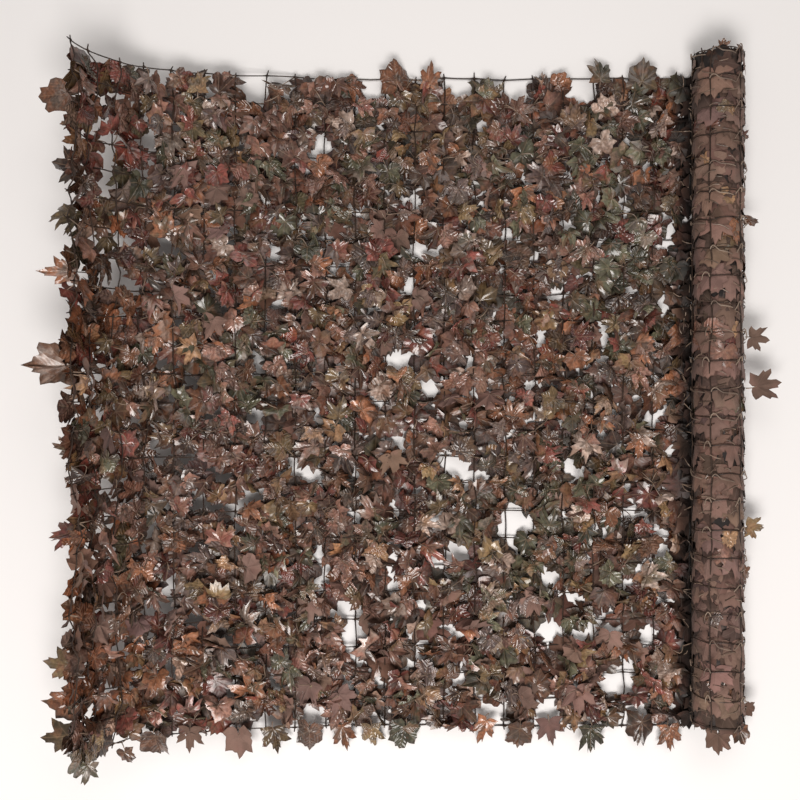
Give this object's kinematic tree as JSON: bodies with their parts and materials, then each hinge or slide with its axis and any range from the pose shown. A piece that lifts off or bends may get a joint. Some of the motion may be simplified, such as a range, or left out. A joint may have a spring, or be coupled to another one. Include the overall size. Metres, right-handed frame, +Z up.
{
  "type": "balcony privacy screen",
  "caption": "Balcony privacy screen: printed fabric leaves on square plastic netting, face up, partly unrolled from its roll, with its free end curling up.",
  "frame": {"origin": "on the ground, under the middle of the laid-out netting", "axes": "+X along the length towards the roll, +Y across the width, +Z up out of the leaf face"},
  "size_m": [1.0941, 1.0804, 0.1772],
  "materials": {
    "net_plastic": "dark brown moulded cord, satin",
    "leaf_print": "printed and embossed leaf faces in rust, olive, dark red and grey green, satin",
    "leaf_back": "plain taupe leaf backs, matt"
  },
  "bodies": {
    "root": {"netting": "net_plastic", "leaf_cover": "leaf_print", "roll": "leaf_back", "leaf_left_01": "leaf_print", "leaf_left_02": "leaf_print", "leaf_left_03": "leaf_print", "leaf_left_04": "leaf_print", "leaf_left_05": "leaf_print", "leaf_left_06": "leaf_print", "leaf_left_07": "leaf_print", "leaf_left_08": "leaf_print", "leaf_left_09": "leaf_print", "leaf_left_10": "leaf_print", "leaf_left_11": "leaf_print", "leaf_corner_01": "leaf_print", "leaf_corner_02": "leaf_print", "leaf_top_01": "leaf_print", "leaf_top_02": "leaf_print", "leaf_top_03": "leaf_print", "leaf_top_04": "leaf_print", "leaf_top_05": "leaf_print", "leaf_bottom_01": "leaf_print", "leaf_bottom_02": "leaf_back", "leaf_bottom_03": "leaf_back", "leaf_bottom_04": "leaf_print", "leaf_bottom_05": "leaf_print", "leaf_bottom_06": "leaf_print", "leaf_bottom_07": "leaf_print", "leaf_bottom_08": "leaf_print", "leaf_bottom_09": "leaf_print", "leaf_bottom_10": "leaf_print", "leaf_bottom_11": "leaf_back", "leaf_bottom_12": "leaf_print", "leaf_bottom_13": "leaf_print", "leaf_bottom_14": "leaf_print", "leaf_roll_01": "leaf_print", "leaf_roll_02": "leaf_print", "leaf_roll_03": "leaf_back", "leaf_roll_04": "leaf_back", "leaf_roll_05": "leaf_print", "leaf_roll_06": "leaf_print", "leaf_roll_07": "leaf_back", "leaf_roll_08": "leaf_print", "leaf_roll_09": "leaf_back", "leaf_roll_10": "leaf_print"}
  },
  "joints": []
}
